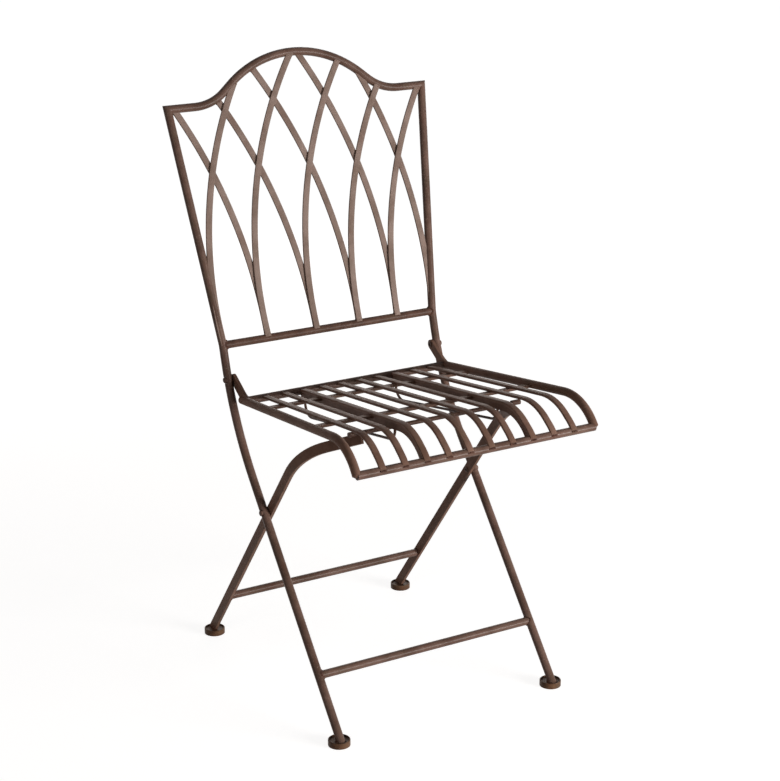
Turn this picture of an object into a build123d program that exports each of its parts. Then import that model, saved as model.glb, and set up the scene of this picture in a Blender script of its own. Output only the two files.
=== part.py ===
from build123d import *
import os
from math import atan2, cos, degrees, radians, sin, sqrt, tan

# Folding garden chair of welded round bar, flat bar and strip, painted. Millimetres, +Z up, the
# front of the chair faces -Y, the chair is even about X = 0 and the floor is Z = 0.

# Round bar of the side rails, the crest and the seat frame
BAR_D = 12.7
BAR_R = BAR_D / 2

# Slightly thinner round bar of the cross rails and stretchers, let in between the side bars
CROSS_D = 12.2

# Side rail: one bar that is the front leg below and the back upright above
RAIL_X = 185.0
LEG_TILT = 39.6
BACK_LEAN = 15.2
KNEE_Y = 125.9
KNEE_Z = 398.5
KNEE_R = 440.0
LOWER_RAIL_RISE = 52.12
SPLAY_R = 60.0
BACK_TALL = 357.5
BACK_TOP_X = 220.0

# Crest: level shoulders, a hollow curve up and a round arch
SHOULDER_R = 80.0
CREST_SLOPE = 40.0
SLOPE_RUN = 15.0
ARCH_R = 175.0

# Feet and stretchers
FOOT_D = 32.7
FOOT_H = 9.0
FOOT_EDGE_R = 1.2
FOOT_RIM = 1.8
FOOT_DISH = 2.0
FOOT_OFFSET = 4.6
FRONT_STRETCHER_Z = 84.3
REAR_STRETCHER_Z = 85.5

# Lattice of the back: two layers of bent strip, one leaning each way
STRIP_W = 10.0
STRIP_T = 3.0
FRONT_STRIP_R = 620.0
REAR_STRIP_R = 770.0
LAYER_PLANE = 2.5
LATTICE_BAYS = 5
STATION_SHIFTS = (0.0, 1.5, 12.0, 13.0, 8.0)
STRIP_TOPS = (-106.0, -5.5, 75.0, 139.0, 211.0)
STRIP_TIP = 28.0

# Rear leg: flat bar on edge that bends forwards and inwards under the seat
LEG_W = 15.5
LEG_T = 5.0
REAR_TILT = 37.6
CROSS_Z = 282.0
BEND_R = 165.0
ARM_RISE = 22.5
ARM_INWARD = 26.0
ARM_RUN = 60.0
ARM_PAST_ROD = 6.0

# Slide rod between the arms
ROD_D = 6.6
ROD_LIFT = 8.0
ROD_END_GAP = 2.6
ROD_END_D = 8.0
ROD_END_OUT = 14.5

# Seat frame: side rails that fan out to the front and turn down there
SEAT_PIVOT_Z = 458.7
SEAT_TILT = 7.28
SEAT_DROP = 28.8
SEAT_REAR_X = 174.7
SEAT_FAN = 3.0
SEAT_FLAT = 337.0
FRONT_R = 73.0
FRONT_TURN = 65.0
REAR_RAIL_F = 35.0

# Ear of the seat side rail: a flat plate on the rail that leans back to the pivot
SIDE_REAR_F = 24.0
EAR_W = 15.0
EAR_FOOT_F = 35.0
EAR_FILLET_R = 40.0
EAR_SINK = 4.0

# Seat slats and what is under them
SLATS = 10
SLAT_FAN = 2.5
SLAT_W = 10.0
SLAT_T = 4.0
CROSSBAR_W = 12.0
CROSSBAR_T = 4.0
CROSSBAR_REAR_F = 100.0
CROSSBAR_MIDDLE_F = 258.0
GUIDE_SLAT = 3
GUIDE_T = 5.0
GUIDE_DEPTH = 10.57

# Guide wires: loops that keep the rod up against the guide bars
WIRE_D = 4.0
WIRE_REAR_F = 43.0
WIRE_FRONT_F = 322.0
WIRE_SLOT_REAR = 27.3
WIRE_SLOT_FRONT = 16.8
WIRE_REAR_R = 19.0
WIRE_FRONT_R = 18.0

# Pivot rivets and washers: each domed head sits on a flat pressed into the side rail
RIVET_D = 6.0
HEAD_D = 9.6
HEAD_H = 3.8
HEAD_EDGE_R = 3.0
FLAT_LEN = 13.6
FLAT_DEPTH = 2.2
ROLLED_D = 8.4
ROLLED_H = 1.6
ROLLED_EDGE_R = 0.8
ROLLED_BORE_D = 4.4
ROLLED_BORE_DEPTH = 3.0
WASHER_D = 12.0
WASHER_T = 0.7
RUN_CLEARANCE = 0.05
SIDE_CLEARANCE = 0.1
ROD_CLEARANCE = 0.3


def turtle(plane, start, heading, moves):
    """Smooth path in a plane: lengths run straight, (radius, angle) pairs turn, left positive."""
    edges = []
    x, y = start
    for move in moves:
        ahead = (cos(radians(heading)), sin(radians(heading)))
        if isinstance(move, tuple):
            radius, angle = move
            edge = JernArc(start=(x, y), tangent=ahead, radius=radius, arc_size=angle)
            heading += angle
        else:
            edge = Line((x, y), (x + move * ahead[0], y + move * ahead[1]))
        end = edge @ 1
        x, y = end.X, end.Y
        edges.append(plane * edge)
    return edges


def round_bar(path, diameter):
    """Round bar along a path."""
    return sweep(Plane(origin=path @ 0, z_dir=path % 0) * Circle(diameter / 2), path=path)


def flat_bar(path, across, wide, thick):
    """Flat bar along a path, its width along the direction across at the start."""
    return sweep(Plane(origin=path @ 0, x_dir=across, z_dir=path % 0) * Rectangle(wide, thick), path=path)


def rod_x(x0, x1, y, z, diameter):
    """Round rod along X from x0 to x1."""
    return Pos((x0 + x1) / 2, y, z) * Rot(0, 90, 0) * Cylinder(diameter / 2, abs(x1 - x0))


def mitre(bar, corner, along, other):
    """The part of a bar on its own side of the mitre between two directions at a corner."""
    return split(bar, bisect_by=Plane(origin=corner, z_dir=along - other), keep=Keep.TOP)


def biggest(shape):
    """Largest solid of a shape."""
    return max(shape.solids(), key=lambda solid: solid.volume)


def left_of(shape):
    """Mirror image on the left side."""
    return mirror(shape, about=Plane.YZ)


# Directions and points of the side rail
leg_up = Vector(0, sin(radians(LEG_TILT)), cos(radians(LEG_TILT)))
back_up = Vector(0, sin(radians(BACK_LEAN)), cos(radians(BACK_LEAN)))
back_front = Vector(0, -cos(radians(BACK_LEAN)), sin(radians(BACK_LEAN)))
knee = Vector(0, KNEE_Y, KNEE_Z)
knee_turn = LEG_TILT - BACK_LEAN
knee_reach = KNEE_R * tan(radians(knee_turn / 2))
lower_rise = LOWER_RAIL_RISE + (SEAT_PIVOT_Z - KNEE_Z) / cos(radians(BACK_LEAN))
lower_rail = knee + back_up * lower_rise
back_plane = Plane(origin=lower_rail, x_dir=(1, 0, 0), z_dir=back_front)
side_plane = Plane(origin=(RAIL_X, 0, 0), x_dir=(0, 1, 0), z_dir=(1, 0, 0))


def leg_y(z):
    """Y of the front-leg part of the side rail at a height."""
    return KNEE_Y - tan(radians(LEG_TILT)) * (KNEE_Z - z)


knee_start = knee - leg_up * knee_reach
knee_centre = knee_start + Vector(0, -cos(radians(LEG_TILT)), sin(radians(LEG_TILT))) * KNEE_R
seat_pivot = Vector(0, knee_centre.Y + sqrt(KNEE_R**2 - (knee_centre.Z - SEAT_PIVOT_Z) ** 2), SEAT_PIVOT_Z)
cross_pivot = Vector(0, leg_y(CROSS_Z), CROSS_Z)

# Face of the flat under each rivet head
flat_x = RAIL_X + BAR_R - FLAT_DEPTH

# Side rail from under the floor line to past the top corner, then cut to stand in the dish of its foot
leg_end = FOOT_H - FOOT_DISH
splay = degrees(atan2(BACK_TOP_X - RAIL_X, BACK_TALL))
splay_reach = SPLAY_R * tan(radians(splay / 2))
leg_len = KNEE_Z / cos(radians(LEG_TILT)) - knee_reach
lower = turtle(
    side_plane,
    (leg_y(0), 0),
    90 - LEG_TILT,
    [leg_len, (KNEE_R, knee_turn), lower_rise - knee_reach - splay_reach],
)
upper = turtle(
    back_plane,
    (RAIL_X, -splay_reach),
    90,
    [(SPLAY_R, -splay), BACK_TALL / cos(radians(splay)) - splay_reach + 2 * BAR_D],
)
rail_bar = round_bar(Wire(lower + upper), BAR_D)
corner = back_plane.from_local_coords((BACK_TOP_X, BACK_TALL))
corner_left = Vector(-corner.X, corner.Y, corner.Z)
rail_down = back_plane.from_local_coords((RAIL_X, 0)) - corner
rail_down = rail_down.normalized()
rail_right = mitre(rail_bar, corner, rail_down, Vector(-1, 0, 0))
rail_right = split(rail_right, bisect_by=Plane.XY.offset(leg_end), keep=Keep.TOP)
for pivot in (seat_pivot, cross_pivot):
    rail_right -= rod_x(0, 2 * RAIL_X, pivot.Y, pivot.Z, RIVET_D + 2 * RUN_CLEARANCE)
    rail_right -= rod_x(flat_x, 2 * RAIL_X, pivot.Y, pivot.Z, FLAT_LEN)
rail_left = left_of(rail_right)
rails = [rail_right, rail_left]

# Crest between the two top corners
turn_x = (SHOULDER_R + ARCH_R) * sin(radians(CREST_SLOPE)) + SLOPE_RUN * cos(radians(CREST_SLOPE))
level = BACK_TOP_X - turn_x + 2 * BAR_D
half_crest = [level, (SHOULDER_R, -CREST_SLOPE), SLOPE_RUN, (ARCH_R, CREST_SLOPE)]
crest_path = turtle(
    back_plane,
    (BACK_TOP_X + 2 * BAR_D, BACK_TALL),
    180,
    half_crest + [(ARCH_R, CREST_SLOPE), SLOPE_RUN, (SHOULDER_R, -CREST_SLOPE), level],
)
crest = round_bar(Wire(crest_path), BAR_D)
crest = mitre(crest, corner, Vector(-1, 0, 0), rail_down)
crest = mitre(crest, corner_left, Vector(1, 0, 0), Vector(-rail_down.X, rail_down.Y, rail_down.Z))


def crest_height(x):
    """Height of the crest axis above the lower back rail at a distance from the middle."""
    apex = BACK_TALL + (SHOULDER_R + ARCH_R) * (1 - cos(radians(CREST_SLOPE)))
    apex += SLOPE_RUN * sin(radians(CREST_SLOPE))
    x = abs(x)
    arch_end = ARCH_R * sin(radians(CREST_SLOPE))
    slope_end = arch_end + SLOPE_RUN * cos(radians(CREST_SLOPE))
    if x <= arch_end:
        return apex - ARCH_R + sqrt(ARCH_R**2 - x**2)
    if x <= slope_end:
        return apex - ARCH_R * (1 - cos(radians(CREST_SLOPE))) - (x - arch_end) * tan(radians(CREST_SLOPE))
    if x <= turn_x:
        return BACK_TALL + SHOULDER_R - sqrt(SHOULDER_R**2 - (turn_x - x) ** 2)
    return BACK_TALL


# Cross rails between the side rails
back_lower_rail = biggest(rod_x(-RAIL_X, RAIL_X, lower_rail.Y, lower_rail.Z, CROSS_D) - rails)
stretcher_y = leg_y(FRONT_STRETCHER_Z)
front_stretcher = biggest(rod_x(-RAIL_X, RAIL_X, stretcher_y, FRONT_STRETCHER_Z, CROSS_D) - rails)


def lattice_strip(foot, top, layer, radius):
    """Strip bent to a radius from a place on the lower rail to a place on the crest, in one layer."""
    low = Vector(foot, 0)
    high = Vector(top, crest_height(top))
    chord = high - low
    sag = radius - sqrt(radius**2 - (chord.length / 2) ** 2)
    side = 1 if top > foot else -1
    out = Vector(-chord.Y, chord.X) * (side / chord.length)
    plane = back_plane.offset(layer)
    arc = plane * ThreePointArc(low, (low + high) / 2 + out * sag, high)
    strip = flat_bar(arc, (arc % 0).cross(back_front), STRIP_W, STRIP_T)
    if abs(foot) >= RAIL_X:
        strip &= plane * Pos(0, STRIP_TIP + BACK_TALL) * Box(4 * RAIL_X, 2 * BACK_TALL, 2 * STRIP_T)
    return biggest(strip - [*rails, crest, back_lower_rail])


bay = 2 * RAIL_X / LATTICE_BAYS
stations = [bay * i - RAIL_X + STATION_SHIFTS[i] for i in range(LATTICE_BAYS)] + [RAIL_X]
lattice = {}
for i in range(LATTICE_BAYS):
    front_layer = LAYER_PLANE + STRIP_T / 2
    rear_layer = LAYER_PLANE - STRIP_T / 2
    front = lattice_strip(stations[i], STRIP_TOPS[i], front_layer, FRONT_STRIP_R)
    rear = lattice_strip(stations[i + 1], -STRIP_TOPS[-1 - i], rear_layer, REAR_STRIP_R)
    lattice[f"lattice_front_{i + 1}"] = front
    lattice[f"lattice_rear_{i + 1}"] = rear


def foot(x, y):
    """Round foot with a softened rim and a shallow dish that takes the end of the leg."""
    disc = Pos(x, y, FOOT_H / 2) * Cylinder(FOOT_D / 2, FOOT_H)
    disc = fillet(disc.edges().group_by(Axis.Z)[-1], FOOT_EDGE_R)
    return disc - Pos(x, y, FOOT_H - FOOT_DISH / 2) * Cylinder(FOOT_D / 2 - FOOT_RIM, FOOT_DISH)


front_foot_right = foot(RAIL_X, leg_y(leg_end) + FOOT_OFFSET)

# Where the plates beside the side rail stand: washer, plate, rolled end of the rivet
plate_out = RAIL_X - BAR_R - WASHER_T - SIDE_CLEARANCE
plate_x = plate_out - LEG_T / 2
plate_in = plate_out - LEG_T

# Seat frame directions: f runs forwards along the seat, h stands square to it
seat_fore = Vector(0, -cos(radians(SEAT_TILT)), sin(radians(SEAT_TILT)))
seat_up = Vector(0, sin(radians(SEAT_TILT)), cos(radians(SEAT_TILT)))
seat_zero = seat_pivot - seat_up * SEAT_DROP
side_fan = tan(radians(SEAT_FAN))
slat_fan = tan(radians(SLAT_FAN))

# Rear leg: straight, one bend forwards and inwards, straight arm
leg_fore = Vector(0, -sin(radians(REAR_TILT)), cos(radians(REAR_TILT)))
arm_level = cos(radians(ARM_RISE))
arm = Vector(-arm_level * sin(radians(ARM_INWARD)), -arm_level * cos(radians(ARM_INWARD)), sin(radians(ARM_RISE)))
bend_angle = leg_fore.get_angle(arm)
bend_in = (arm - leg_fore * cos(radians(bend_angle))).normalized()


def rear_leg_point(z):
    """Point of the straight rear leg at a height."""
    return Vector(plate_x, cross_pivot.Y - tan(radians(REAR_TILT)) * (z - CROSS_Z), z)


def bend_step(angle):
    """Way from the start of the rear leg's bend after turning through an angle."""
    return (leg_fore * sin(radians(angle)) + bend_in * (1 - cos(radians(angle)))) * BEND_R


# The bend starts at the height that brings the slide rod on the arm just under the guide bars
arm_rise_side = atan2(arm.Z, -arm.Y)
rod_lift = Vector(0, sin(arm_rise_side), cos(arm_rise_side)) * ROD_LIFT
rod_step = bend_step(bend_angle) + arm * ARM_RUN + rod_lift
rod_drop = GUIDE_DEPTH + ROD_CLEARANCE + ROD_D / 2
leg_climb = (rear_leg_point(1) - rear_leg_point(0)).dot(seat_up)
bend_z = ((seat_zero - rear_leg_point(0) - rod_step).dot(seat_up) - rod_drop) / leg_climb
bend_start = rear_leg_point(bend_z)
arm_start = bend_start + bend_step(bend_angle)
rod_on_arm = arm_start + arm * ARM_RUN
leg_path = Wire(
    [
        Line(rear_leg_point(0), bend_start),
        ThreePointArc(bend_start, bend_start + bend_step(bend_angle / 2), arm_start),
        Line(arm_start, rod_on_arm + arm * ARM_PAST_ROD),
    ]
)
rear_leg_right = flat_bar(leg_path, (1, 0, 0), LEG_T, LEG_W)
rear_leg_right = split(rear_leg_right, bisect_by=Plane.XY.offset(leg_end), keep=Keep.TOP)
rear_leg_right -= rod_x(0, RAIL_X, cross_pivot.Y, cross_pivot.Z, RIVET_D + 2 * RUN_CLEARANCE)
rear_legs = [rear_leg_right, left_of(rear_leg_right)]
rear_foot_right = foot(plate_x, rear_leg_point(leg_end).Y - FOOT_OFFSET)
rear_at = rear_leg_point(REAR_STRETCHER_Z)
rear_stretcher = rod_x(-plate_in, plate_in, rear_at.Y, rear_at.Z, CROSS_D)

# Slide rod, held just under the guide bars, and its fixed ends outside the arms
rod_at = rod_on_arm + rod_lift
rod_half = rod_on_arm.X - LEG_T / 2 / cos(radians(ARM_INWARD)) - ROD_END_GAP
top_slide_rod = rod_x(-rod_half, rod_half, rod_at.Y, rod_at.Z, ROD_D)
rod_end = rod_x(rod_on_arm.X, rod_on_arm.X + ROD_END_OUT, rod_at.Y, rod_at.Z, ROD_END_D)
rod_end = biggest(rod_end - rear_leg_right)


def fan_plane(share, fan):
    """Upright plane along the seat at a share of the half width, its x running to the front."""
    ahead = (seat_fore + Vector(share * fan, 0, 0)).normalized()
    origin = seat_zero + Vector(share * SEAT_REAR_X, 0, 0)
    return Plane(origin=origin, x_dir=ahead, z_dir=ahead.cross(seat_up))


# Seat side rail: rounded rear end, flat run, front curve and rounded front corner
side_stretch = sqrt(1 + side_fan**2)
side_path = Wire(
    turtle(
        fan_plane(1, side_fan),
        (SIDE_REAR_F * side_stretch, 0),
        0,
        [(SEAT_FLAT - SIDE_REAR_F) * side_stretch, (FRONT_R, -FRONT_TURN)],
    )
)
front_right = side_path @ 1
front_end = Plane(origin=front_right, z_dir=side_path % 1) * Sphere(BAR_R, arc_size1=0)
rear_end = Plane(origin=side_path @ 0, z_dir=-(side_path % 0)) * Sphere(BAR_R, arc_size1=0)
side_bar = round_bar(side_path, BAR_D) + front_end + rear_end

# The ear: an eye round the pivot, a straight neck and a foot that sweeps into the rail in front
ear_plane = Plane(origin=(plate_x, seat_pivot.Y, seat_pivot.Z), x_dir=seat_fore, z_dir=(-1, 0, 0))
ear_lean = degrees(atan2(SEAT_DROP, EAR_FOOT_F))
ear_along = Vector(cos(radians(ear_lean)), -sin(radians(ear_lean)))
ear_edge = Vector(-ear_along.Y, ear_along.X) * (EAR_W / 2)
foot_y = EAR_SINK - SEAT_DROP
foot_corner = ear_edge + ear_along * ((ear_edge.Y - foot_y) / -ear_along.Y)
fillet_reach = EAR_FILLET_R * tan(radians(ear_lean / 2))
fillet_top = foot_corner - ear_along * fillet_reach
fillet_end = foot_corner + Vector(fillet_reach, 0)
sweep_edge = JernArc(start=fillet_top, tangent=ear_along, radius=EAR_FILLET_R, arc_size=ear_lean)
foot_lines = Polyline(fillet_end, (fillet_end.X, -SEAT_DROP), (EAR_FOOT_F, -SEAT_DROP), fillet_top)
ear = Rot(0, 0, -ear_lean) * Pos(EAR_FOOT_F, 0) * Rectangle(2 * EAR_FOOT_F, EAR_W) + Circle(EAR_W / 2)
ear &= Pos(0, SEAT_DROP) * Rectangle(8 * EAR_FOOT_F, 4 * SEAT_DROP)
ear += make_face([*sweep_edge.edges(), *foot_lines.edges()])
ear_plate = extrude(ear_plane * ear, LEG_T / 2, both=True)
seat_side_right = side_bar + ear_plate
seat_side_right -= rod_x(0, RAIL_X, seat_pivot.Y, seat_pivot.Z, RIVET_D + 2 * RUN_CLEARANCE)
seat_side_right = biggest(seat_side_right)
seat_sides = [seat_side_right, left_of(seat_side_right)]

# Front and rear rails of the seat
rear_rail_at = seat_zero + seat_fore * REAR_RAIL_F
rear_half = SEAT_REAR_X + side_fan * REAR_RAIL_F
seat_rear_rail = rod_x(-rear_half, rear_half, rear_rail_at.Y, rear_rail_at.Z, CROSS_D)
seat_rear_rail = biggest(seat_rear_rail - seat_sides)
seat_front_rail = rod_x(-front_right.X, front_right.X, front_right.Y, front_right.Z, CROSS_D)
seat_front_rail = biggest(seat_front_rail - seat_sides)
seat_ends = [seat_rear_rail, seat_front_rail]


def slat_share(i):
    """Place of a slat as a share of the half width of the seat, from the left."""
    return 2 * i / (SLATS + 1) - 1


def seat_strip(share, wide, low, high):
    """Strip along the seat between the rear and front rails, between two heights."""
    stretch = sqrt(1 + (share * slat_fan) ** 2)
    height = (low + high) / 2
    moves = [(SEAT_FLAT - REAR_RAIL_F) * stretch, (FRONT_R + height, -FRONT_TURN)]
    path = Wire(turtle(fan_plane(share, slat_fan), (REAR_RAIL_F * stretch, height), 0, moves))
    across = (path % 0).cross(seat_up)
    return flat_bar(path, across, wide, high - low)


slats = {}
for i in range(1, SLATS + 1):
    slats[f"seat_slat_{i:02d}"] = biggest(seat_strip(slat_share(i), SLAT_W, 0, SLAT_T) - seat_ends)


def crossbar(f):
    """Flat bar across the underside of the slats."""
    at = seat_zero + seat_fore * f - seat_up * (CROSSBAR_T / 2)
    half = SEAT_REAR_X + side_fan * f
    bar = Plane(origin=at, x_dir=(1, 0, 0), z_dir=seat_up) * Box(2 * half, CROSSBAR_W, CROSSBAR_T)
    return biggest(bar - seat_sides)


crossbars = [crossbar(CROSSBAR_REAR_F), crossbar(CROSSBAR_MIDDLE_F)]

# Guide bar under a slat, and the wire loop below it
guide_share = slat_share(SLATS + 1 - GUIDE_SLAT)
guide_right = seat_strip(guide_share, GUIDE_T, -GUIDE_DEPTH, 0)
guide_right = biggest(guide_right - seat_ends - crossbars)
wire_len = WIRE_FRONT_F - WIRE_REAR_F - WIRE_REAR_R - WIRE_FRONT_R
wire_rise = degrees(atan2(WIRE_SLOT_REAR - WIRE_SLOT_FRONT, wire_len))
wire_path = Wire(
    turtle(
        fan_plane(guide_share, slat_fan),
        (WIRE_REAR_F, -GUIDE_DEPTH / 2),
        -90,
        [
            GUIDE_DEPTH / 2 + WIRE_SLOT_REAR - WIRE_REAR_R,
            (WIRE_REAR_R, 90 + wire_rise),
            wire_len,
            (WIRE_FRONT_R, 90 - wire_rise),
            GUIDE_DEPTH / 2 + WIRE_SLOT_FRONT - WIRE_FRONT_R,
        ],
    )
)
wire_right = biggest(round_bar(wire_path, WIRE_D) - guide_right)


def rivets(pivot):
    """Pair of pivot rivets: a domed head on the side rail, a rolled hollow end inside the plate."""
    head = fillet(Cylinder(HEAD_D / 2, HEAD_H).edges().group_by(Axis.Z)[-1], HEAD_EDGE_R)
    head = Pos(flat_x + HEAD_H / 2, pivot.Y, pivot.Z) * Rot(0, 90, 0) * head
    end_x = plate_in - SIDE_CLEARANCE
    rolled = fillet(Cylinder(ROLLED_D / 2, ROLLED_H).edges().group_by(Axis.Z)[0], ROLLED_EDGE_R)
    rolled = Pos(end_x - ROLLED_H / 2, pivot.Y, pivot.Z) * Rot(0, 90, 0) * rolled
    shank = rod_x(end_x, flat_x, pivot.Y, pivot.Z, RIVET_D)
    bore = rod_x(0, end_x - ROLLED_H + ROLLED_BORE_DEPTH, pivot.Y, pivot.Z, ROLLED_BORE_D)
    rivet = biggest(head + shank + rolled - bore)
    return Compound([rivet, left_of(rivet)])


def washers(pivot):
    """Pair of washers between the side rail and the plate that turns beside it."""
    out = RAIL_X - BAR_R
    ring = rod_x(out - WASHER_T, out, pivot.Y, pivot.Z, WASHER_D)
    ring -= rod_x(0, RAIL_X, pivot.Y, pivot.Z, RIVET_D + 2 * RUN_CLEARANCE)
    ring = biggest(ring)
    return Compound([ring, left_of(ring)])


parts = {
    "back_rail_right": rail_right,
    "back_rail_left": rail_left,
    "crest_rail": crest,
    "back_lower_rail": back_lower_rail,
    **lattice,
    "front_stretcher": front_stretcher,
    "front_foot_right": front_foot_right,
    "front_foot_left": left_of(front_foot_right),
    "cross_pivot_rivets": rivets(cross_pivot),
    "cross_pivot_washers": washers(cross_pivot),
    "seat_pivot_rivets": rivets(seat_pivot),
    "seat_pivot_washers": washers(seat_pivot),
    "rear_leg_right": rear_legs[0],
    "rear_leg_left": rear_legs[1],
    "rear_stretcher": rear_stretcher,
    "rear_foot_right": rear_foot_right,
    "rear_foot_left": left_of(rear_foot_right),
    "slide_rod_ends": Compound([rod_end, left_of(rod_end)]),
    "top_slide_rod": top_slide_rod,
    "seat_side_rail_right": seat_sides[0],
    "seat_side_rail_left": seat_sides[1],
    "seat_rear_rail": seat_rear_rail,
    "seat_front_rail": seat_front_rail,
    **slats,
    "seat_crossbar_rear": crossbars[0],
    "seat_crossbar_middle": crossbars[1],
    "guide_bar_right": guide_right,
    "guide_bar_left": left_of(guide_right),
    "guide_wire_right": wire_right,
    "guide_wire_left": left_of(wire_right),
}

os.makedirs("parts", exist_ok=True)
for name, shape in parts.items():
    export_step(shape, f"parts/{name}.step")
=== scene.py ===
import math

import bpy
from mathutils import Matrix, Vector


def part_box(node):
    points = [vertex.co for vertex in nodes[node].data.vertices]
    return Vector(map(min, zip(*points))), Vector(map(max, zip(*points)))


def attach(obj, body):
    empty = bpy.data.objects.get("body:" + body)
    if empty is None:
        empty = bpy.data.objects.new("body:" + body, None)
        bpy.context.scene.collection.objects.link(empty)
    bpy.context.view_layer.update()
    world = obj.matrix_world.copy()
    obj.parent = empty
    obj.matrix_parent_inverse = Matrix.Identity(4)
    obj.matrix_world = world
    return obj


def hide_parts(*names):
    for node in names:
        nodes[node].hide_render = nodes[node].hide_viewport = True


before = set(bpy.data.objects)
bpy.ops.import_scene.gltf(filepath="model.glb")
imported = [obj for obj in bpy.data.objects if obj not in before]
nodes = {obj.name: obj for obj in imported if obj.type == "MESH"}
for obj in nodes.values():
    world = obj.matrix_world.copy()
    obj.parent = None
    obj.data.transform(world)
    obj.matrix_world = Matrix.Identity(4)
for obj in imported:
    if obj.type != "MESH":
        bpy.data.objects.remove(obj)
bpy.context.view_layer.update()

# %% [markdown]
# # A folding garden chair in painted bar and strip
# The chair is welded from round bar, flat bar and strip, then painted dark brown. The solids
# already have the true shapes, so this script does three things: it gives every bar a patina
# paint, it remakes the slats and the lattice with the softly rolled edges that real strip has,
# and it adds the weld beads that join the pieces. The scene is in metres, +Z up, front to -Y;
# sizes of the chair are written in millimetres, as in its drawing.

MM = 0.001
print("pieces of the chair:", len(nodes))

# %% [markdown]
# ## The paint
# Seen close, the finish is not one colour. A dark brown coat lies over the steel, rubbed with a
# paler bronze, with rusty and olive clouds in it. The same three effects appear on every piece,
# so each is a node group, built once and placed in each material with its own values: clouds
# of colour, rubbed flecks, and a fine orange-peel bump. Noise in Object coordinates is chosen
# because it needs no UV map and runs on over a joint between two bars.


# %% Helpers that build node trees
def feed(tree, socket, value):
    """Give a socket a fixed value, or a link where the value is another socket."""
    if isinstance(value, bpy.types.NodeSocket):
        tree.links.new(value, socket)
    else:
        socket.default_value = value


def sockets_of(sockets, kind):
    """The sockets of one type, in their order."""
    return [socket for socket in sockets if socket.type == kind]


def calc(tree, operation, *values):
    """Math on numbers or sockets."""
    node = tree.nodes.new("ShaderNodeMath")
    node.operation = operation
    for socket, value in zip(node.inputs, values):
        feed(tree, socket, value)
    return node.outputs["Value"]


def ramp(tree, value, low, high, first=0.0, last=1.0):
    """Smooth step from a first to a last result, while a value goes from low to high."""
    node = tree.nodes.new("ShaderNodeMapRange")
    node.interpolation_type = "SMOOTHSTEP"
    for label, limit in (("From Min", low), ("From Max", high), ("To Min", first), ("To Max", last)):
        node.inputs[label].default_value = limit
    tree.links.new(value, node.inputs["Value"])
    return node.outputs["Result"]


def noise(tree, scale, detail, rough):
    """A noise texture in Object coordinates."""
    node = tree.nodes.new("ShaderNodeTexNoise")
    where = tree.nodes.new("ShaderNodeTexCoord").outputs["Object"]
    tree.links.new(where, node.inputs["Vector"])
    feed(tree, node.inputs["Scale"], scale)
    node.inputs["Detail"].default_value = detail
    node.inputs["Roughness"].default_value = rough
    return node.outputs["Fac"]


def mix(tree, factor, a, b):
    """Mix of two colours."""
    node = tree.nodes.new("ShaderNodeMix")
    node.data_type = "RGBA"
    tree.links.new(factor, node.inputs["Factor"])
    for socket, colour in zip(sockets_of(node.inputs, "RGBA"), (a, b)):
        tree.links.new(colour, socket)
    return sockets_of(node.outputs, "RGBA")[0]


def new_group(name, inputs, outputs):
    """A shader node group with named sockets; returns the tree with its two end nodes."""
    tree = bpy.data.node_groups.new(name, "ShaderNodeTree")
    for label, kind, value in inputs:
        socket = tree.interface.new_socket(label, in_out="INPUT", socket_type=kind)
        socket.default_value = value
    for label, kind in outputs:
        tree.interface.new_socket(label, in_out="OUTPUT", socket_type=kind)
    return tree, tree.nodes.new("NodeGroupInput"), tree.nodes.new("NodeGroupOutput")


print("helpers ready")


# %% Node group: clouds of colour in the paint
def build_clouds():
    """Brown paint with rusty and olive clouds and a broad change from dark to pale."""
    tree, start, end = new_group(
        "patina_clouds",
        [
            ("Dark", "NodeSocketColor", (0.05, 0.03, 0.02, 1)),
            ("Pale", "NodeSocketColor", (0.2, 0.15, 0.13, 1)),
            ("Rust", "NodeSocketColor", (0.12, 0.05, 0.04, 1)),
            ("Olive", "NodeSocketColor", (0.11, 0.09, 0.05, 1)),
            ("Scale", "NodeSocketFloat", 28.0),
            ("Rust Share", "NodeSocketFloat", 0.6),
            ("Olive Share", "NodeSocketFloat", 0.4),
        ],
        [("Color", "NodeSocketColor")],
    )
    given = start.outputs
    broad = ramp(tree, noise(tree, given["Scale"], detail=4.0, rough=0.6), low=0.3, high=0.68)
    brown = mix(tree, broad, given["Dark"], given["Pale"])
    rust = ramp(tree, noise(tree, scale=46.0, detail=5.0, rough=0.65), low=0.5, high=0.68)
    brown = mix(tree, calc(tree, "MULTIPLY", rust, given["Rust Share"]), brown, given["Rust"])
    olive = ramp(tree, noise(tree, scale=33.0, detail=3.0, rough=0.5), low=0.54, high=0.7)
    brown = mix(tree, calc(tree, "MULTIPLY", olive, given["Olive Share"]), brown, given["Olive"])
    tree.links.new(brown, end.inputs["Color"])
    return tree


patina_clouds = build_clouds()
print("group:", patina_clouds.name)


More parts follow.
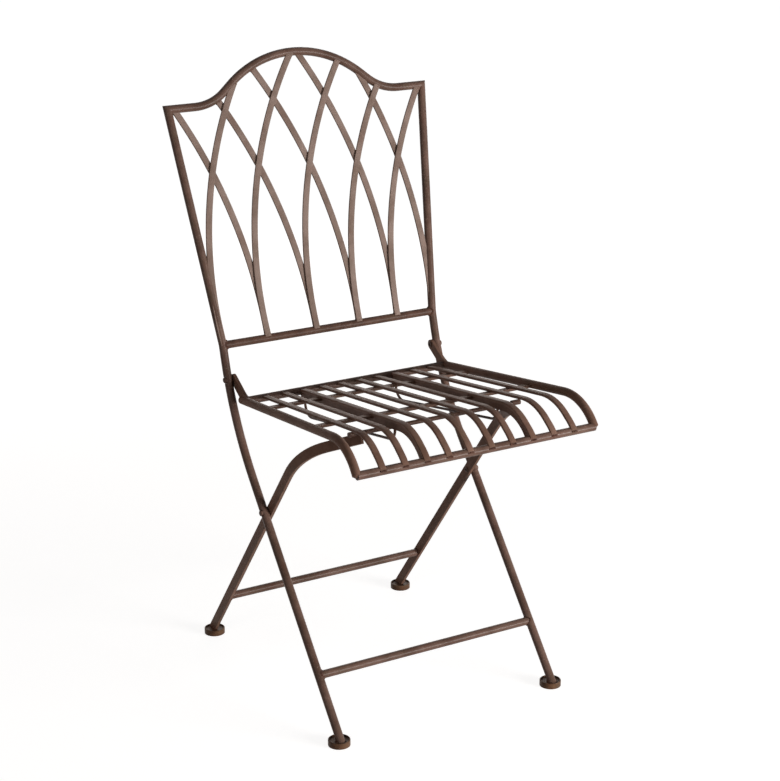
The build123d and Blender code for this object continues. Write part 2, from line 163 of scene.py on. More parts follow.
# %% Node group: rubbed flecks
def build_rub():
    """Small flecks and streaks where the paler bronze was rubbed over the brown."""
    tree, start, end = new_group(
        "bronze_rub",
        [
            ("Color", "NodeSocketColor", (0.1, 0.07, 0.06, 1)),
            ("Rubbed", "NodeSocketColor", (0.3, 0.23, 0.2, 1)),
            ("Amount", "NodeSocketFloat", 0.5),
            ("Roughness", "NodeSocketFloat", 0.5),
        ],
        [("Color", "NodeSocketColor"), ("Roughness", "NodeSocketFloat")],
    )
    given = start.outputs
    fleck = ramp(tree, noise(tree, scale=420.0, detail=3.0, rough=0.6), low=0.56, high=0.72)
    area = ramp(tree, noise(tree, scale=18.0, detail=2.0, rough=0.5), low=0.35, high=0.65)
    share = calc(tree, "MULTIPLY", calc(tree, "MULTIPLY", fleck, area), given["Amount"])
    tree.links.new(mix(tree, share, given["Color"], given["Rubbed"]), end.inputs["Color"])
    gloss = tree.nodes.new("ShaderNodeMapRange")
    gloss.inputs["To Min"].default_value = 0.86
    gloss.inputs["To Max"].default_value = 1.14
    tree.links.new(noise(tree, scale=90.0, detail=3.0, rough=0.55), gloss.inputs["Value"])
    rough = calc(tree, "MULTIPLY", gloss.outputs["Result"], given["Roughness"])
    tree.links.new(rough, end.inputs["Roughness"])
    return tree


bronze_rub = build_rub()
print("group:", bronze_rub.name)


# %% Node group: orange peel
def build_peel():
    """Height of the fine waves and specks that sprayed paint leaves."""
    tree, start, end = new_group(
        "paint_peel",
        [("Fine", "NodeSocketFloat", 900.0), ("Specks", "NodeSocketFloat", 0.5)],
        [("Height", "NodeSocketFloat")],
    )
    wave = noise(tree, start.outputs["Fine"], detail=2.0, rough=0.5)
    speck = ramp(tree, noise(tree, scale=2600.0, detail=1.0, rough=0.5), low=0.62, high=0.8)
    specks = calc(tree, "MULTIPLY", speck, start.outputs["Specks"])
    tree.links.new(calc(tree, "ADD", wave, specks), end.inputs["Height"])
    return tree


paint_peel = build_peel()
print("group:", paint_peel.name)


# %% [markdown]
# ## Materials
# Seven paints share the groups. Round bar looks darker and a little glossier, the strip of the
# lattice paler and flatter: partly its own colour, partly painted sheen for the light that the flat
# strip catches from the front. The slats, the legs and the sides of the seat are browner. Wire and
# rod are dark, and the lower rail of the back takes the same dark paint as painted shade, for the
# shadow that the seat casts on it. Feet are dark and rubbed, and welds redder, because the heat
# of the weld scorched the steel under the coat. Colours are written as sRGB values, as a paint
# chart gives them, and turned to linear light here.


# %% Helpers for paint
RUST = (92, 58, 48)
OLIVE = (92, 80, 62)
PEEL_DEPTH = 0.4 * MM
PAINT_SHINE = 0.1


def srgb(red, green, blue):
    """Linear colour from sRGB parts out of 255."""
    linear = []
    for part in (red, green, blue):
        part /= 255
        linear.append(part / 12.92 if part <= 0.04045 else ((part + 0.055) / 1.055) ** 2.4)
    return (*linear, 1.0)


def place_group(tree, group, values):
    """A group node with its own values; returns its outputs."""
    node = tree.nodes.new("ShaderNodeGroup")
    node.node_tree = group
    for label, value in values.items():
        feed(tree, node.inputs[label], value)
    return node.outputs


def painted_steel(
    name, dark, pale, rubbed, scale, rough,
    rust=RUST, olive=OLIVE, rust_share=0.35, olive_share=0.3, rub=0.4, peel=0.3,
):
    """Patina paint built from the three groups."""
    material = bpy.data.materials.new(name)
    material.use_nodes = True
    tree = material.node_tree
    shader = tree.nodes["Principled BSDF"]
    cloud_values = {"Scale": scale, "Rust Share": rust_share, "Olive Share": olive_share}
    for label, colour in (("Dark", dark), ("Pale", pale), ("Rust", rust), ("Olive", olive)):
        cloud_values[label] = srgb(*colour)
    clouds = place_group(tree, patina_clouds, cloud_values)
    rub_values = {"Color": clouds["Color"], "Rubbed": srgb(*rubbed), "Amount": rub, "Roughness": rough}
    rubs = place_group(tree, bronze_rub, rub_values)
    tree.links.new(rubs["Color"], shader.inputs["Base Color"])
    tree.links.new(rubs["Roughness"], shader.inputs["Roughness"])
    bump = tree.nodes.new("ShaderNodeBump")
    bump.inputs["Strength"].default_value = peel
    bump.inputs["Distance"].default_value = PEEL_DEPTH
    tree.links.new(place_group(tree, paint_peel, {})["Height"], bump.inputs["Height"])
    tree.links.new(bump.outputs["Normal"], shader.inputs["Normal"])
    shader.inputs["Specular IOR Level"].default_value = PAINT_SHINE
    return material


print("peel depth:", PEEL_DEPTH)

# %% The seven paints
bar_paint = painted_steel(
    "bar_paint", dark=(86, 65, 55), pale=(112, 88, 78), rubbed=(160, 138, 127),
    scale=26.0, rough=0.3, rub=0.5,
)
# Paler than round bar: partly the strip's own colour, partly painted sheen for the light the flat strip
# catches from the front.
strip_paint_and_sheen = painted_steel(
    "strip_paint_and_sheen", dark=(121, 102, 92), pale=(144, 125, 116), rubbed=(168, 150, 140),
    scale=24.0, rough=0.62, rust=(116, 86, 75), olive=(116, 103, 88), rust_share=0.3,
)
slat_paint = painted_steel(
    "slat_paint", dark=(104, 78, 65), pale=(128, 100, 87), rubbed=(158, 136, 124),
    scale=24.0, rough=0.54, olive_share=0.25,
)
leg_paint = painted_steel(
    "leg_paint", dark=(99, 74, 61), pale=(121, 93, 80), rubbed=(140, 116, 103),
    scale=22.0, rough=0.55,
)
rod_paint = painted_steel(
    "rod_paint", dark=(74, 53, 44), pale=(98, 73, 62), rubbed=(156, 134, 122),
    scale=40.0, rough=0.4, olive_share=0.25, rub=0.55,
)
foot_paint = painted_steel(
    "foot_paint", dark=(72, 50, 38), pale=(104, 78, 58), rubbed=(150, 124, 98),
    scale=60.0, rough=0.42, rust=(104, 66, 46), rust_share=0.5, olive_share=0.35, rub=0.55, peel=0.4,
)
weld_paint = painted_steel(
    "weld_paint", dark=(66, 43, 35), pale=(96, 67, 56), rubbed=(138, 110, 96),
    scale=90.0, rough=0.5, rust=(104, 62, 50), rust_share=0.6, olive_share=0.2, peel=0.5,
)
print("paints:", len(bpy.data.materials))


# %% [markdown]
# ## Painting the solids
# A solid whose shape is right stays as it is and only gets its paint. The name of a piece says
# what it is, so a short list of name starts is enough to choose. The rest is round bar.


# %% Paint every solid
PAINT_BY_NAME = (
    ("lattice", strip_paint_and_sheen),
    ("seat_slat", slat_paint),
    # The dark rod paint on the lower rail of the back is painted shade, for the shadow that the seat casts
    # on it.
    ("back_lower_rail", rod_paint),
    ("seat_side_rail", leg_paint),
    ("seat_crossbar", leg_paint),
    ("guide_bar", slat_paint),
    ("guide_wire", rod_paint),
    ("top_slide_rod", rod_paint),
    ("slide_rod_ends", rod_paint),
    ("rear_leg", leg_paint),
    ("front_foot", foot_paint),
    ("rear_foot", foot_paint),
)
painted = {}
for name, obj in nodes.items():
    paint = bar_paint
    for start, choice in PAINT_BY_NAME:
        if name.startswith(start):
            paint = choice
    for place in obj.material_slots:
        place.material = paint
    painted[paint.name] = painted.get(paint.name, 0) + 1
print("painted:", painted)

# %% [markdown]
# ## Places in the chair
# The remade pieces need two work planes, the back and the seat, with the same sizes as the
# solids. In the back plane x runs across and y up the slope from the lower rail; in the seat
# plane x runs to the front, y across and z square to the seat.

# %% Work planes
BACK_LEAN = math.radians(15.2)
LEG_TILT = math.radians(39.6)
SEAT_TILT = math.radians(7.28)
KNEE = Vector((0, 125.9, 398.5))
LOWER_RAIL_RISE = 114.5
SEAT_DROP = 28.8
BACK_TALL = 357.5
RAIL_X = 185.0
BAR_R = 6.35
CROSS_R = 6.1


def frame_matrix(origin, x_dir, y_dir, z_dir):
    """Matrix from a work plane in millimetres to the chair in metres."""
    columns = [Vector(x_dir), Vector(y_dir), Vector(z_dir), Vector(origin)]
    turn = Matrix([[column[row] for column in columns] for row in range(3)]).to_4x4()
    for row in range(3):
        turn[row][3] = columns[3][row]
    return Matrix.Scale(MM, 4) @ turn


def box_middle(name):
    """Middle of a solid's box in millimetres."""
    low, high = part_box(name)
    return (Vector(low) + Vector(high)) / 2 / MM


back_up = Vector((0, math.sin(BACK_LEAN), math.cos(BACK_LEAN)))
back_front = Vector((0, -math.cos(BACK_LEAN), math.sin(BACK_LEAN)))
lower_rail = KNEE + back_up * LOWER_RAIL_RISE
back_matrix = frame_matrix(lower_rail, (1, 0, 0), back_up, back_front)

seat_fore = Vector((0, -math.cos(SEAT_TILT), math.sin(SEAT_TILT)))
seat_up = Vector((0, math.sin(SEAT_TILT), math.cos(SEAT_TILT)))
seat_zero = box_middle("seat_pivot_rivets") - seat_up * SEAT_DROP
seat_matrix = frame_matrix(seat_zero, seat_fore, (1, 0, 0), seat_up)
print("lower rail at", [round(v, 1) for v in lower_rail], "seat zero", [round(v, 1) for v in seat_zero])


# %% [markdown]
# ## A Geometry Nodes tool for strip
# Flat strip comes from the mill with small rolled edges, and those edges catch the light. The
# tool sweeps a rounded rectangle along any path, so the path decides the piece: a bend over the
# front of the seat, or an arc of the lattice. Z Up keeps the strip flat on its layer, and a
# small noise gives the unevenness of bars bent by hand.


# %% Helpers that build geometry trees
def new_geometry_tree(name, inputs):
    """A geometry tree with named inputs; returns tree, start node, end node and socket ids."""
    tree = bpy.data.node_groups.new(name, "GeometryNodeTree")
    tree.interface.new_socket("Geometry", in_out="INPUT", socket_type="NodeSocketGeometry")
    ids = {}
    for label, kind, value in inputs:
        socket = tree.interface.new_socket(label, in_out="INPUT", socket_type=kind)
        if value is not None:
            socket.default_value = value
        ids[label] = socket.identifier
    tree.interface.new_socket("Geometry", in_out="OUTPUT", socket_type="NodeSocketGeometry")
    return tree, tree.nodes.new("NodeGroupInput"), tree.nodes.new("NodeGroupOutput"), ids


def coat_and_end(tree, start, end, shape):
    """End of a tree: copies made real, then coated with the tree's paint."""
    real = tree.nodes.new("GeometryNodeRealizeInstances")
    coat = tree.nodes.new("GeometryNodeSetMaterial")
    tree.links.new(shape, real.inputs["Geometry"])
    tree.links.new(real.outputs["Geometry"], coat.inputs["Geometry"])
    tree.links.new(start.outputs["Paint"], coat.inputs["Material"])
    tree.links.new(coat.outputs["Geometry"], end.inputs["Geometry"])


def grow(name, base, tree, ids, values):
    """Run a geometry tree on a base object and keep the result as a plain mesh object."""
    modifier = base.modifiers.new(name, "NODES")
    modifier.node_group = tree
    for label, value in values.items():
        modifier[ids[label]] = value
    graph = bpy.context.evaluated_depsgraph_get()
    mesh = bpy.data.meshes.new_from_object(base.evaluated_get(graph))
    base.modifiers.remove(modifier)
    mesh.name = name
    piece = bpy.data.objects.new(name, mesh)
    bpy.context.scene.collection.objects.link(piece)
    bpy.data.objects.remove(base)
    return piece


print("geometry helpers ready")

# %% Helpers for paths and shading
SMOOTH_ANGLE = math.radians(40)


def path_object(name, paths):
    """A curve object with one poly spline for each list of points."""
    curve = bpy.data.curves.new(name, "CURVE")
    curve.dimensions = "3D"
    for points in paths:
        spline = curve.splines.new("POLY")
        spline.points.add(len(points) - 1)
        for point, place in zip(spline.points, points):
            point.co = (*place, 1)
    obj = bpy.data.objects.new(name, curve)
    bpy.context.scene.collection.objects.link(obj)
    return obj


def shade_strip(piece):
    """Smooth shading up to an edge angle, so rolled edges look round and flats stay flat."""
    piece.data.shade_smooth()
    piece.data.set_sharp_from_angle(angle=SMOOTH_ANGLE)


print("edges stay sharp above", SMOOTH_ANGLE)


# %% Geometry tree: rolled strip along paths
def build_strip_tree():
    """Rounded rectangle swept along the paths of the base object."""
    tree, start, end, ids = new_geometry_tree(
        "rolled_strip",
        [
            ("Width", "NodeSocketFloat", 10.0),
            ("Thickness", "NodeSocketFloat", 3.0),
            ("Edge Radius", "NodeSocketFloat", 0.7),
            ("Unevenness", "NodeSocketFloat", 0.15),
            ("Seed", "NodeSocketInt", 3),
            ("Paint", "NodeSocketMaterial", None),
        ],
    )
    link = tree.links.new
    upright = tree.nodes.new("GeometryNodeSetCurveNormal")
    upright.mode = "Z_UP"
    link(start.outputs["Geometry"], upright.inputs["Curve"])
    section = tree.nodes.new("GeometryNodeCurvePrimitiveQuadrilateral")
    link(start.outputs["Width"], section.inputs["Width"])
    link(start.outputs["Thickness"], section.inputs["Height"])
    rolled = tree.nodes.new("GeometryNodeFilletCurve")
    rolled.mode = "POLY"
    rolled.inputs["Count"].default_value = 3
    link(section.outputs["Curve"], rolled.inputs["Curve"])
    link(start.outputs["Edge Radius"], rolled.inputs["Radius"])
    sweep = tree.nodes.new("GeometryNodeCurveToMesh")
    sweep.inputs["Fill Caps"].default_value = True
    link(upright.outputs["Curve"], sweep.inputs["Curve"])
    link(rolled.outputs["Curve"], sweep.inputs["Profile Curve"])
    wander = tree.nodes.new("ShaderNodeTexNoise")
    wander.noise_dimensions = "4D"
    wander.inputs["Scale"].default_value = 0.012
    wander.inputs["Detail"].default_value = 1.0
    link(start.outputs["Seed"], wander.inputs["W"])
    centred = tree.nodes.new("ShaderNodeVectorMath")
    centred.operation = "SUBTRACT"
    centred.inputs[1].default_value = (0.5, 0.5, 0.5)
    link(wander.outputs["Color"], centred.inputs[0])
    sized = tree.nodes.new("ShaderNodeVectorMath")
    sized.operation = "SCALE"
    link(centred.outputs["Vector"], sized.inputs[0])
    link(start.outputs["Unevenness"], sized.inputs["Scale"])
    moved = tree.nodes.new("GeometryNodeSetPosition")
    link(sweep.outputs["Mesh"], moved.inputs["Geometry"])
    link(sized.outputs["Vector"], moved.inputs["Offset"])
    coat_and_end(tree, start, end, moved.outputs["Geometry"])
    return tree, ids


strip_tree, strip_ids = build_strip_tree()
print("tree:", strip_tree.name, len(strip_tree.nodes), "nodes")

# %% [markdown]
# ## The lattice
# Ten strips make the pointed arches of the back: five lean one way in a front layer, five the
# other way behind them. Each is an arc from a place on the lower rail to a place on the crest.
# Their ends run on into the round bars, as strip does before the weld is laid.

# %% Paths of the lattice
SHOULDER_R, ARCH_R, SLOPE, SLOPE_RUN = 80.0, 175.0, math.radians(40), 15.0
STRIP_W, STRIP_T, LAYER_PLANE = 10.0, 3.0, 2.5
STATIONS = (-185.0, -109.5, -25.0, 50.0, 119.0, 185.0)
STRIP_TOPS = (-106.0, -5.5, 75.0, 139.0, 211.0)
FRONT_STRIP_R, REAR_STRIP_R = 620.0, 770.0
LAYERS = {
    "front": (LAYER_PLANE + STRIP_T / 2, FRONT_STRIP_R),
    "rear": (LAYER_PLANE - STRIP_T / 2, REAR_STRIP_R),
}
LAYER_STRIPS = len(STRIP_TOPS)
STRIP_POINTS = 49


def crest_height(x):
    """Height of the crest axis above the lower rail."""
    apex = BACK_TALL + (SHOULDER_R + ARCH_R) * (1 - math.cos(SLOPE)) + SLOPE_RUN * math.sin(SLOPE)
    x = abs(x)
    arch_end = ARCH_R * math.sin(SLOPE)
    slope_end = arch_end + SLOPE_RUN * math.cos(SLOPE)
    turn_x = slope_end + SHOULDER_R * math.sin(SLOPE)
    if x <= arch_end:
        return apex - ARCH_R + math.sqrt(ARCH_R**2 - x**2)
    if x <= slope_end:
        return apex - ARCH_R * (1 - math.cos(SLOPE)) - (x - arch_end) * math.tan(SLOPE)
    if x <= turn_x:
        return BACK_TALL + SHOULDER_R - math.sqrt(SHOULDER_R**2 - (turn_x - x) ** 2)
    return BACK_TALL


def arc_between(low, high, radius, side):
    """Points on an arc of a radius between two points, bulging to one side."""
    chord = high - low
    half = chord.length / 2
    rise = math.sqrt(radius**2 - half**2)
    out = Vector((-chord.y, chord.x)) * (side / chord.length)
    centre = (low + high) / 2 - out * rise
    first, last = low - centre, high - centre
    turn = first.angle_signed(last)
    points = []
    for i in range(STRIP_POINTS):
        angle = -turn * i / (STRIP_POINTS - 1)
        c, s = math.cos(angle), math.sin(angle)
        points.append(centre + Vector((first.x * c - first.y * s, first.x * s + first.y * c)))
    return points


lattice_paths = {"front": [], "rear": []}
for i in range(LAYER_STRIPS):
    for layer, foot, top, side in (
        ("front", STATIONS[i], STRIP_TOPS[i], 1),
        ("rear", STATIONS[i + 1], -STRIP_TOPS[-1 - i], -1),
    ):
        depth, radius = LAYERS[layer]
        points = arc_between(Vector((foot, 0)), Vector((top, crest_height(top))), radius, side)
        lattice_paths[layer].append([(p.x, p.y, depth) for p in points])
print("lattice paths:", {layer: len(paths) for layer, paths in lattice_paths.items()})

# %% Grow the two lattice layers
lattice_values = {
    "Width": STRIP_W,
    "Thickness": STRIP_T,
    "Edge Radius": 0.7,
    "Unevenness": 0.25,
    "Seed": 3,
    "Paint": strip_paint_and_sheen,
}
for layer, paths in lattice_paths.items():
    base = path_object("lattice_path", paths)
    piece = grow(f"lattice_{layer}_layer", base, strip_tree, strip_ids, lattice_values)
    piece.data.transform(back_matrix)
    shade_strip(piece)
    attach(piece, "back_frame")
    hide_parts(*[f"lattice_{layer}_{i + 1}" for i in range(LAYER_STRIPS)])
    print(piece.name, len(piece.data.polygons), "faces", [round(v, 3) for v in piece.dimensions])

# %% [markdown]
# ## The seat slats
# The slats are one rule: the same bent strip, set side by side and fanned a little, because the
# seat is wider in front. Geometry Nodes is the right tool: a row of points across the seat
# carries copies of the strip, and each copy turns by its share of the fan. Over the front the
# strip swells out to lap onto the front rail.

# %% Path of one slat
SLATS, REAR_X = 10, 174.7
SLAT_W, SLAT_T, SLAT_FAN = 10.0, 4.0, math.tan(math.radians(2.5))
SEAT_FLAT, FRONT_R, FRONT_TURN = 337.0, 73.0, math.radians(65)
REAR_F = 35.0
FRONT_LAP = 2.7
FLAT_STEPS, TURN_STEPS, LAP_STEPS = 12, 32, 10

slat_height = SLAT_T / 2
slat_points = [
    (REAR_F + (SEAT_FLAT - REAR_F) * i / FLAT_STEPS, 0, slat_height) for i in range(FLAT_STEPS + 1)
]
for i in range(1, TURN_STEPS + 1):
    turn = FRONT_TURN * i / TURN_STEPS
    share = max(0.0, (i - TURN_STEPS + LAP_STEPS) / LAP_STEPS)
    radius = FRONT_R + slat_height + FRONT_LAP * share * share * (3 - 2 * share)
    slat_points.append((SEAT_FLAT + radius * math.sin(turn), 0, radius * math.cos(turn) - FRONT_R))
print("slat path points:", len(slat_points))


# %% Geometry tree: a fanned row
def build_fan_tree():
    """Copies of a strip on a row of points, each turned by its share of the fan."""
    tree, start, end, ids = new_geometry_tree(
        "fanned_row",
        [
            ("Count", "NodeSocketInt", 10),
            ("Half Width", "NodeSocketFloat", 170.0),
            ("First", "NodeSocketFloat", 140.0),
            ("Fan", "NodeSocketFloat", 0.04),
            ("Sway", "NodeSocketFloat", 0.002),
            ("Seed", "NodeSocketInt", 5),
            ("Paint", "NodeSocketMaterial", None),
        ],
    )
    link = tree.links.new
    given = start.outputs
    row = tree.nodes.new("GeometryNodeMeshLine")
    row.mode = "END_POINTS"
    link(given["Count"], row.inputs["Count"])
    for sign, label in ((-1, "Start Location"), (1, "Offset")):
        place = tree.nodes.new("ShaderNodeCombineXYZ")
        link(calc(tree, "MULTIPLY", given["First"], sign), place.inputs["Y"])
        link(place.outputs["Vector"], row.inputs[label])
    where = tree.nodes.new("ShaderNodeSeparateXYZ")
    link(tree.nodes.new("GeometryNodeInputPosition").outputs["Position"], where.inputs["Vector"])
    share = calc(tree, "DIVIDE", where.outputs["Y"], given["Half Width"])
    angle = calc(tree, "ARCTANGENT", calc(tree, "MULTIPLY", share, given["Fan"]))
    sway = tree.nodes.new("FunctionNodeRandomValue")
    lowest, highest = sockets_of(sway.inputs, "VALUE")[:2]
    link(calc(tree, "MULTIPLY", given["Sway"], -1), lowest)
    link(given["Sway"], highest)
    link(given["Seed"], sway.inputs["Seed"])
    turn = tree.nodes.new("ShaderNodeCombineXYZ")
    link(calc(tree, "ADD", angle, sockets_of(sway.outputs, "VALUE")[0]), turn.inputs["Z"])
    copies = tree.nodes.new("GeometryNodeInstanceOnPoints")
    link(row.outputs["Mesh"], copies.inputs["Points"])
    link(given["Geometry"], copies.inputs["Instance"])
    link(turn.outputs["Vector"], copies.inputs["Rotation"])
    coat_and_end(tree, start, end, copies.outputs["Instances"])
    return tree, ids


fan_tree, fan_ids = build_fan_tree()
print("tree:", fan_tree.name, len(fan_tree.nodes), "nodes")

# %% Grow the slats
slat_values = {
    "Width": SLAT_W,
    "Thickness": SLAT_T,
    "Edge Radius": 1.0,
    "Unevenness": 0.2,
    "Seed": 8,
    "Paint": slat_paint,
}
one_slat = grow("one_slat", path_object("slat_path", [slat_points]), strip_tree, strip_ids, slat_values)
row_values = {
    "Count": SLATS,
    "Half Width": REAR_X,
    "First": REAR_X * (1 - 2 / (SLATS + 1)),
    "Fan": SLAT_FAN,
    "Sway": 0.0012,
    "Seed": 5,
    "Paint": slat_paint,
}
slats = grow("seat_slats", one_slat, fan_tree, fan_ids, row_values)
slats.data.transform(seat_matrix)
shade_strip(slats)
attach(slats, "seat")
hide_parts(*[f"seat_slat_{i + 1:02d}" for i in range(SLATS)])
print(slats.name, len(slats.data.polygons), "faces", [round(v, 3) for v in slats.dimensions])

# %% [markdown]
# ## Weld beads
# Every joint of the chair is welded, and the beads were painted over. A bead is a lumpy drop, so
# one small ball is enough: points mark the seams, and Geometry Nodes puts a ball on each with
# its own size and turn. The seams are rings where bar meets bar or foot, and short rows where
# strip meets bar. A strip that starts in a lower corner runs into the side rail instead, so it
# has no row there.

# %% Seams around the cross bars
RING_BEADS = 22
BEAD_SINK = 0.3
ring_turns = [math.tau * i / RING_BEADS for i in range(RING_BEADS)]


def ring_on_bar(centre, rail_dir, side):
    """Points where a cross bar meets a round side rail, around the seam."""
    points = []
    for turn in ring_turns:
        out = Vector((0, math.cos(turn), math.sin(turn))) * CROSS_R
        across = out - rail_dir * out.dot(rail_dir)
        reach = math.sqrt(max(BAR_R**2 - min(across.length, BAR_R) ** 2, 0))
        points.append(Vector((side * (RAIL_X - reach), centre.y, centre.z)) + out)
    return points


def ring_on_plate(centre, plate_x, side):
    """Points where a cross bar meets a flat leg."""
    x = side * (plate_x - BEAD_SINK)
    return [
        Vector((x, centre.y + CROSS_R * math.cos(turn), centre.z + CROSS_R * math.sin(turn)))
        for turn in ring_turns
    ]


leg_dir = Vector((0, math.sin(LEG_TILT), math.cos(LEG_TILT)))
plate_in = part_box("rear_stretcher")[1][0] / MM
seams = {"back_frame": [], "rear_leg_frame": [], "seat": []}
for side in (-1, 1):
    seams["back_frame"] += ring_on_bar(box_middle("front_stretcher"), leg_dir, side)
    seams["back_frame"] += ring_on_bar(lower_rail, back_up, side)
    seams["rear_leg_frame"] += ring_on_plate(box_middle("rear_stretcher"), plate_in, side)
print("ring points:", {body: len(points) for body, points in seams.items()})

# %% Seams of the lattice
ROW_BEADS = 5
END_POINTS = 6


def bead_row(width):
    """Places of the beads across a strip."""
    return [(k - ROW_BEADS // 2) * width / ROW_BEADS for k in range(ROW_BEADS)]


for paths in lattice_paths.values():
    for path in paths:
        for end_points, at_foot in ((path[:END_POINTS], True), (path[-END_POINTS:][::-1], False)):
            tip = Vector(end_points[0])
            if at_foot and abs(tip.x) > RAIL_X - BAR_R:
                continue
            ahead = (Vector(end_points[-1]) - tip).normalized()
            seam = tip + ahead * math.sqrt(BAR_R**2 - tip.z**2)
            across = Vector((-ahead.y, ahead.x, 0))
            for aside in bead_row(STRIP_W):
                seams["back_frame"].append(back_matrix @ (seam + across * aside) / MM)
print("with the lattice:", {body: len(points) for body, points in seams.items()})

# %% Seams of the slats
BEAD_OUT = 5.6
BEAD_RISE = 3.2
BEAD_PAST = math.radians(1.4)

front_turn = FRONT_TURN + BEAD_PAST
front_f = SEAT_FLAT + (FRONT_R + BEAD_OUT) * math.sin(front_turn)
front_h = (FRONT_R + BEAD_OUT) * math.cos(front_turn) - FRONT_R
for i in range(1, SLATS + 1):
    share = 2 * i / (SLATS + 1) - 1
    for aside in bead_row(SLAT_W):
        for f, h in ((REAR_F + BEAD_OUT, BEAD_RISE), (front_f, front_h)):
            spot = Vector((f, share * (REAR_X + SLAT_FAN * f) + aside, h))
            seams["seat"].append(seat_matrix @ spot / MM)
print("with the slats:", {body: len(points) for body, points in seams.items()})

# %% Seams at the feet
LEG_END, FOOT_OFFSET = 7.0, 4.6
FRONT_HALF = (BAR_R, BAR_R / math.cos(LEG_TILT))
REAR_HALF = (2.8, 9.8)


def foot_ring(name, shift, half):
    """Points around the end of a leg in the dish of its foot."""
    middle = box_middle(name)
    return [
        Vector((middle.x + half[0] * math.cos(turn), middle.y + shift + half[1] * math.sin(turn), LEG_END))
        for turn in ring_turns
    ]


for side in ("left", "right"):
    seams["back_frame"] += foot_ring(f"front_foot_{side}", -FOOT_OFFSET, FRONT_HALF)
    seams["rear_leg_frame"] += foot_ring(f"rear_foot_{side}", FOOT_OFFSET, REAR_HALF)
print("with the feet:", {body: len(points) for body, points in seams.items()})


# %% Geometry tree: lumpy beads on points
def build_bead_tree():
    """A lumpy drop on every point, with random size and turn."""
    tree, start, end, ids = new_geometry_tree(
        "weld_beads",
        [
            ("Radius", "NodeSocketFloat", 0.0012),
            ("Size Spread", "NodeSocketFloat", 0.35),
            ("Seed", "NodeSocketInt", 11),
            ("Paint", "NodeSocketMaterial", None),
        ],
    )
    link = tree.links.new
    given = start.outputs
    drop = tree.nodes.new("GeometryNodeMeshUVSphere")
    drop.inputs["Segments"].default_value = 8
    drop.inputs["Rings"].default_value = 6
    link(given["Radius"], drop.inputs["Radius"])
    size = tree.nodes.new("FunctionNodeRandomValue")
    size.data_type = "FLOAT_VECTOR"
    smallest, largest = sockets_of(size.inputs, "VECTOR")
    link(calc(tree, "SUBTRACT", 1.0, given["Size Spread"]), smallest)
    link(calc(tree, "ADD", 1.0, given["Size Spread"]), largest)
    link(given["Seed"], size.inputs["Seed"])
    turn = tree.nodes.new("FunctionNodeRandomValue")
    turn.data_type = "FLOAT_VECTOR"
    sockets_of(turn.inputs, "VECTOR")[1].default_value = (math.tau, math.tau, math.tau)
    link(given["Seed"], turn.inputs["Seed"])
    copies = tree.nodes.new("GeometryNodeInstanceOnPoints")
    link(given["Geometry"], copies.inputs["Points"])
    link(drop.outputs["Mesh"], copies.inputs["Instance"])
    link(sockets_of(size.outputs, "VECTOR")[0], copies.inputs["Scale"])
    link(sockets_of(turn.outputs, "VECTOR")[0], copies.inputs["Rotation"])
    coat_and_end(tree, start, end, copies.outputs["Instances"])
    return tree, ids


bead_tree, bead_ids = build_bead_tree()
print("tree:", bead_tree.name, len(bead_tree.nodes), "nodes")

# %% Grow the beads, one piece for each body
bead_values = {"Radius": 1.5 * MM, "Size Spread": 0.3, "Seed": 11, "Paint": weld_paint}
for body, points in seams.items():
    mesh = bpy.data.meshes.new("seam_points")
    mesh.from_pydata([point * MM for point in points], [], [])
    base = bpy.data.objects.new("seam_points", mesh)
    bpy.context.scene.collection.objects.link(base)
    piece = grow(f"weld_beads_{body}", base, bead_tree, bead_ids, bead_values)
    piece.data.shade_smooth()
    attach(piece, body)
    print(piece.name, len(piece.data.polygons), "faces")

# %% [markdown]
# ## Floor, light and camera
# The chair stands on a plain white sweep. The camera and the reflections in the paint see that
# white, but the floor gives back only half of the light and the room is dim, as in a studio
# with flags overhead, so that every bar keeps a light middle and dark edges. A soft lamp low
# in front, at the height of the seat, is the key; weak ones fill from the left and from
# behind. The camera takes the view of the photograph: a long lens, above the seat and to the
# left of the front.


# %% White that is only seen
def white_when_seen(tree, seen, felt):
    """Shader that shows one surface to the camera and in reflections, and another to other light."""
    rays = tree.nodes.new("ShaderNodeLightPath").outputs
    direct = rays["Is Camera Ray"]
    for kind in ("Is Glossy Ray", "Is Transmission Ray"):
        direct = calc(tree, "MAXIMUM", direct, rays[kind])
    choose = tree.nodes.new("ShaderNodeMixShader")
    tree.links.new(direct, choose.inputs["Fac"])
    tree.links.new(felt, choose.inputs[1])
    tree.links.new(seen, choose.inputs[2])
    return choose.outputs["Shader"]


print("white helper ready")

# %% Floor
REACH = 30.0
FLOOR_GREY = (0.5, 0.5, 0.5, 1)
GLOW_NEAR, GLOW_FAR = 0.6, 3.0
GLOW_AT_CHAIR = 0.88

floor_material = bpy.data.materials.new("pale_floor")
floor_material.use_nodes = True
tree = floor_material.node_tree
tree.nodes.clear()
matt = tree.nodes.new("ShaderNodeBsdfDiffuse")
matt.inputs["Color"].default_value = FLOOR_GREY
away = tree.nodes.new("ShaderNodeVectorMath")
away.operation = "LENGTH"
tree.links.new(tree.nodes.new("ShaderNodeTexCoord").outputs["Object"], away.inputs[0])
glow = tree.nodes.new("ShaderNodeEmission")
strength = ramp(tree, away.outputs["Value"], GLOW_NEAR, GLOW_FAR, first=GLOW_AT_CHAIR)
tree.links.new(strength, glow.inputs["Strength"])
bright = tree.nodes.new("ShaderNodeAddShader")
tree.links.new(matt.outputs["BSDF"], bright.inputs[0])
tree.links.new(glow.outputs["Emission"], bright.inputs[1])
surface = tree.nodes.new("ShaderNodeOutputMaterial")
shader = white_when_seen(tree, bright.outputs["Shader"], matt.outputs["BSDF"])
tree.links.new(shader, surface.inputs["Surface"])

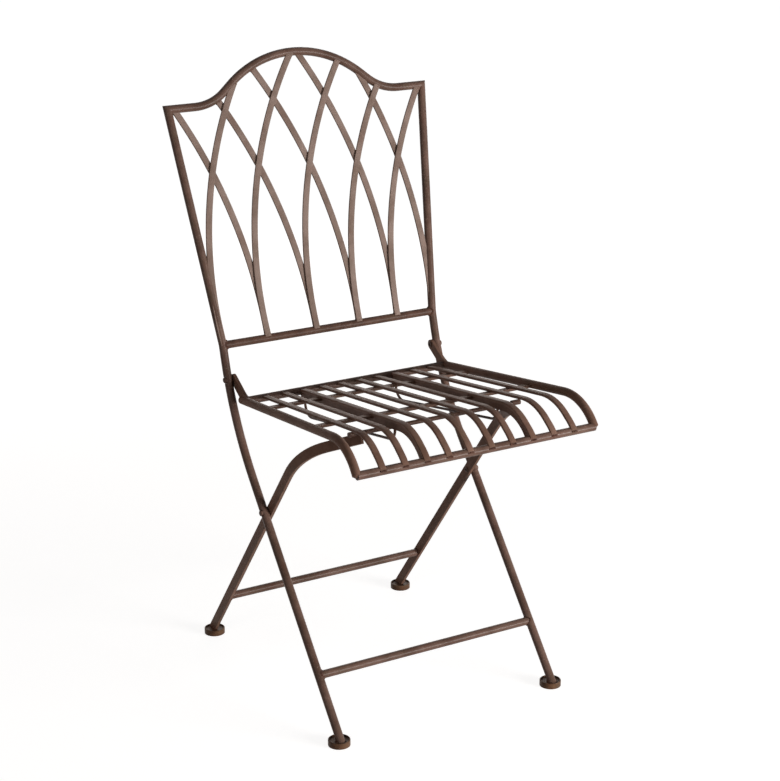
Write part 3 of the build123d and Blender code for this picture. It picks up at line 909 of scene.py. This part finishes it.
floor_mesh = bpy.data.meshes.new("floor")
corners = [(-REACH, -REACH, 0), (REACH, -REACH, 0), (REACH, REACH, 0), (-REACH, REACH, 0)]
floor_mesh.from_pydata(corners, [], [(0, 1, 2, 3)])
floor_mesh.materials.append(floor_material)
floor = bpy.data.objects.new("floor", floor_mesh)
bpy.context.scene.collection.objects.link(floor)
print("floor", floor.dimensions[:])

# %% World
world = bpy.data.worlds.new("studio")
bpy.context.scene.world = world
world.use_nodes = True
tree = world.node_tree
tree.nodes.clear()
room = tree.nodes.new("ShaderNodeBackground")
room.inputs["Color"].default_value = (1.0, 0.87, 0.79, 1)
room.inputs["Strength"].default_value = 0.04
white = tree.nodes.new("ShaderNodeBackground")
white.inputs["Color"].default_value = (1, 1, 1, 1)
white.inputs["Strength"].default_value = 1.0
sky = tree.nodes.new("ShaderNodeOutputWorld")
shader = white_when_seen(tree, white.outputs["Background"], room.outputs["Background"])
tree.links.new(shader, sky.inputs["Surface"])
print("world:", len(tree.nodes), "nodes")

# %% Lamps
CHAIR_MIDDLE = Vector((0, 0, 0.5))
LAMP_SPREAD = math.radians(125)
NEAR_WHITE = (1.0, 0.97, 0.95)
WARM = (1.0, 0.9, 0.83)


def soft_lamp(name, place, wide, tall, power, colour):
    """Large lamp aimed at the middle of the chair, lighting it without being seen itself."""
    lamp = bpy.data.lights.new(name, "AREA")
    lamp.color = colour
    lamp.shape = "RECTANGLE"
    lamp.size = wide
    lamp.size_y = tall
    lamp.energy = power
    lamp.spread = LAMP_SPREAD
    obj = bpy.data.objects.new(name, lamp)
    bpy.context.scene.collection.objects.link(obj)
    obj.location = place
    obj.rotation_euler = (CHAIR_MIDDLE - Vector(place)).to_track_quat("-Z", "Y").to_euler()
    obj.visible_camera = False


soft_lamp("key", place=(1.6, -2.75, 0.5), wide=1.6, tall=0.8, power=58, colour=NEAR_WHITE)
soft_lamp("fill", place=(-3.0, -1.4, 1.2), wide=1.6, tall=1.6, power=8, colour=WARM)
soft_lamp("back", place=(1.55, 2.65, 0.8), wide=2.4, tall=1.3, power=10, colour=WARM)
print("lamps:", len(bpy.data.lights))

# %% Camera
camera_data = bpy.data.cameras.new("photo_camera")
camera_data.sensor_width = 36.0
camera_data.lens = 90.30
camera_data.clip_end = 50.0
camera = bpy.data.objects.new("photo_camera", camera_data)
bpy.context.scene.collection.objects.link(camera)
azimuth, elevation = math.radians(-30.66), math.radians(18.33)
camera.location = (-1.4061, -2.3966, 1.3711)
camera.rotation_euler = (math.pi / 2 - elevation, 0, azimuth)
bpy.context.scene.camera = camera
bpy.context.scene.view_settings.view_transform = "Standard"
print("camera at", camera.location[:])
